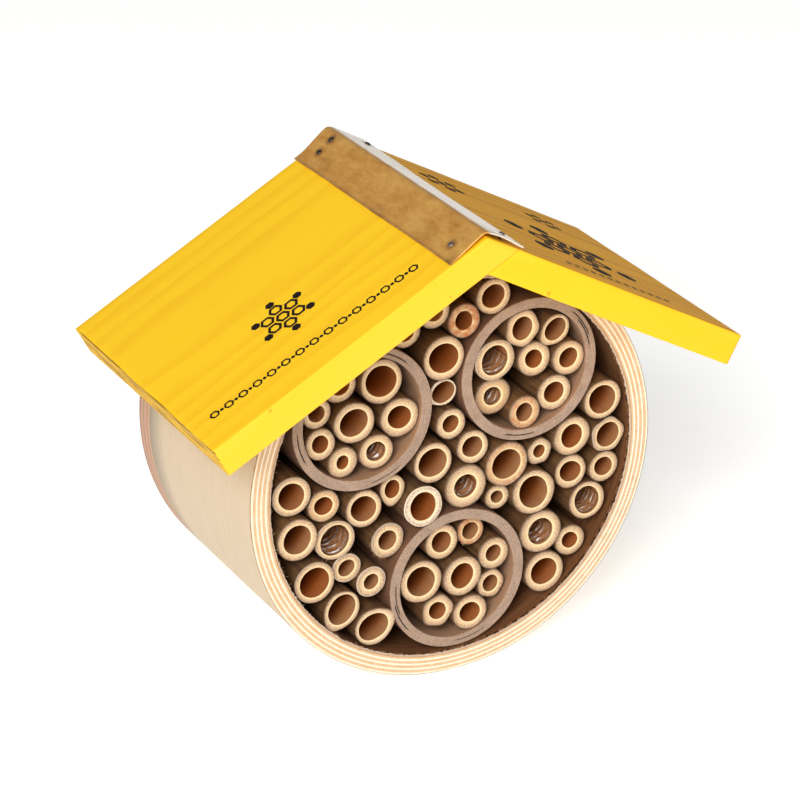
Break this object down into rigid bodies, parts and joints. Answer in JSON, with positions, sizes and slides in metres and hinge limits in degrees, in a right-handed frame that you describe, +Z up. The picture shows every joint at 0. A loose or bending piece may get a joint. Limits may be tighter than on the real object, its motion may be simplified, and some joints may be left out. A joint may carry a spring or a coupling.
{
  "type": "insect hotel",
  "caption": "Wall-hung insect hotel: a round plywood drum packed with hollow canes and pull-out card tubes, under a gabled board roof with a folded metal ridge cap.",
  "frame": {"origin": "the drum's axis at its back face, which lies against the wall", "axes": "+Z up, -Y out of the drum's open front, +X to the right as seen from the front"},
  "size_m": [0.2104, 0.118, 0.1793],
  "materials": {
    "stained_pine": "yellow wood stain, satin",
    "aged_brass": "aged, stained and brushed",
    "zinc_steel": "zinc plated",
    "birch_plywood": "bare, sanded",
    "panel_plywood": "bare, sanded",
    "wound_card": "matte, spirally wound",
    "bamboo": "sawn ends, dry skin"
  },
  "bodies": {
    "house": {"back_nails": "zinc_steel", "back_panel": "panel_plywood", "cane_01": "bamboo", "cane_02": "bamboo", "cane_03": "bamboo", "cane_04": "bamboo", "cane_05": "bamboo", "cane_06": "bamboo", "cane_07": "bamboo", "cane_08": "bamboo", "cane_09": "bamboo", "cane_10": "bamboo", "cane_11": "bamboo", "cane_12": "bamboo", "cane_13": "bamboo", "cane_14": "bamboo", "cane_15": "bamboo", "cane_16": "bamboo", "cane_17": "bamboo", "cane_18": "bamboo", "cane_19": "bamboo", "cane_20": "bamboo", "cane_21": "bamboo", "cane_22": "bamboo", "cane_23": "bamboo", "cane_24": "bamboo", "cane_25": "bamboo", "cane_26": "bamboo", "cane_27": "bamboo", "cane_28": "bamboo", "cane_29": "bamboo", "cane_30": "bamboo", "cane_31": "bamboo", "cane_32": "bamboo", "cane_33": "bamboo", "cane_34": "bamboo", "cane_35": "bamboo", "cane_36": "bamboo", "cane_37": "bamboo", "cane_38": "bamboo", "drum_shell": "birch_plywood", "hanger_plate": "zinc_steel", "hanger_screws": "zinc_steel", "ridge_brads": "zinc_steel", "ridge_cap": "aged_brass", "ridge_pins": "zinc_steel", "roof_board_left": "stained_pine", "roof_board_right": "stained_pine"},
    "cartridge_left": {"card_tube_left": "wound_card", "card_canes_left": "bamboo"},
    "cartridge_right": {"card_tube_right": "wound_card", "card_canes_right": "bamboo"},
    "cartridge_bottom": {"card_tube_bottom": "wound_card", "card_canes_bottom": "bamboo"}
  },
  "joints": [
    {"name": "pull_left", "type": "slide", "parent": "house", "child": "cartridge_left", "axis": [0, -1, 0], "range_m": [0, 0.0855]},
    {"name": "pull_right", "type": "slide", "parent": "house", "child": "cartridge_right", "axis": [0, -1, 0], "range_m": [0, 0.0855]},
    {"name": "pull_bottom", "type": "slide", "parent": "house", "child": "cartridge_bottom", "axis": [0, -1, 0], "range_m": [0, 0.0855]}
  ]
}
